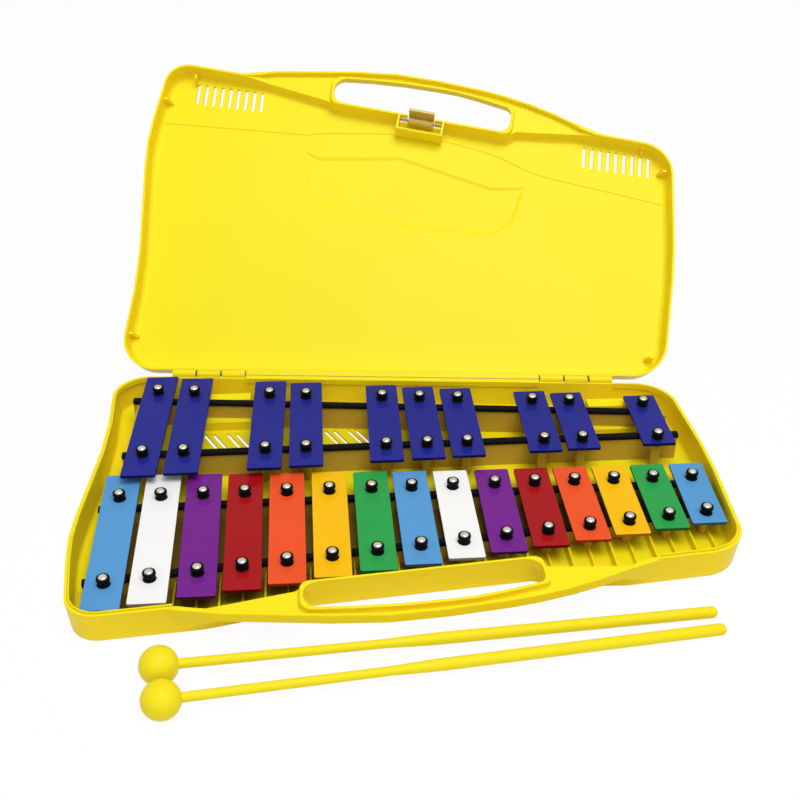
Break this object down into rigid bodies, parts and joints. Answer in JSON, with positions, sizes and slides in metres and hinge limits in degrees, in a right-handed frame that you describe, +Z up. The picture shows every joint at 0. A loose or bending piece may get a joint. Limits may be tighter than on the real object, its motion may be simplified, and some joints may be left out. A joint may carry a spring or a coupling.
{
  "type": "metallophone",
  "caption": "Chromatic metallophone: coloured steel bars on felt rails in a hinged plastic carry case with a handle and a sprung latch, with its ball-headed mallets.",
  "frame": {"origin": "on the flat underside of the tray, straight below the middle of the case's width between the outer natural bars", "axes": "+X along the row of bars from the long low bars to the short high ones, +Y to the hinged rear, +Z up"},
  "size_m": [0.4803, 0.5675, 0.217],
  "materials": {
    "case_yellow": "satin moulded, pale yellow",
    "mallet_yellow": "satin moulded, pale yellow",
    "bright_steel": "plated",
    "latch_amber": "translucent amber",
    "felt_and_rubber": "black felt strip with black rubber sleeves",
    "paint_sky": "gloss enamel on steel",
    "paint_white": "gloss enamel on steel",
    "paint_purple": "gloss enamel on steel",
    "paint_red": "gloss enamel on steel",
    "paint_orange": "gloss enamel on steel",
    "paint_amber": "gloss enamel on steel",
    "paint_green": "gloss enamel on steel",
    "paint_blue": "gloss enamel on steel"
  },
  "bodies": {
    "case": {"tray": "case_yellow", "hinge_pin_left": "bright_steel", "hinge_pin_right": "bright_steel", "natural_front_strip": "felt_and_rubber", "natural_rear_strip": "felt_and_rubber", "accidental_front_strip": "felt_and_rubber", "accidental_rear_strip": "felt_and_rubber", "bar_01_natural": "paint_sky", "bar_02_accidental": "paint_blue", "bar_03_natural": "paint_white", "bar_04_accidental": "paint_blue", "bar_05_natural": "paint_purple", "bar_06_natural": "paint_red", "bar_07_accidental": "paint_blue", "bar_08_natural": "paint_orange", "bar_09_accidental": "paint_blue", "bar_10_natural": "paint_amber", "bar_11_natural": "paint_green", "bar_12_accidental": "paint_blue", "bar_13_natural": "paint_sky", "bar_14_accidental": "paint_blue", "bar_15_natural": "paint_white", "bar_16_accidental": "paint_blue", "bar_17_natural": "paint_purple", "bar_18_natural": "paint_red", "bar_19_accidental": "paint_blue", "bar_20_natural": "paint_orange", "bar_21_accidental": "paint_blue", "bar_22_natural": "paint_amber", "bar_23_natural": "paint_green", "bar_24_accidental": "paint_blue", "bar_25_natural": "paint_sky"},
    "lid": {"lid": "case_yellow", "latch_pin": "bright_steel"},
    "latch": {"latch": "latch_amber"},
    "mallet_1": {"mallet_1_head": "mallet_yellow", "mallet_1_stick": "mallet_yellow"},
    "mallet_2": {"mallet_2_head": "mallet_yellow", "mallet_2_stick": "mallet_yellow"}
  },
  "joints": [
    {"name": "lid_hinge", "type": "hinge", "parent": "case", "child": "lid", "pos_m": [0, 0.1349, 0.02415], "axis": [0.9966, -0.0819, 0], "range_deg": [0, 136.8]},
    {"name": "latch_pivot", "type": "hinge", "parent": "lid", "child": "latch", "pos_m": [0.03327, 0.30829, 0.17781], "axis": [-0.9701, 0.21, 0.1219], "range_deg": [0, 25], "stiffness_Nm_per_rad": 0.01, "springref_deg": -11.46},
    {"name": "mallet_1_lift", "type": "slide", "parent": "case", "child": "mallet_1", "axis": [0, 0, 1], "range_m": [0, 0.12]},
    {"name": "mallet_2_lift", "type": "slide", "parent": "case", "child": "mallet_2", "axis": [0, 0, 1], "range_m": [0, 0.12]}
  ]
}
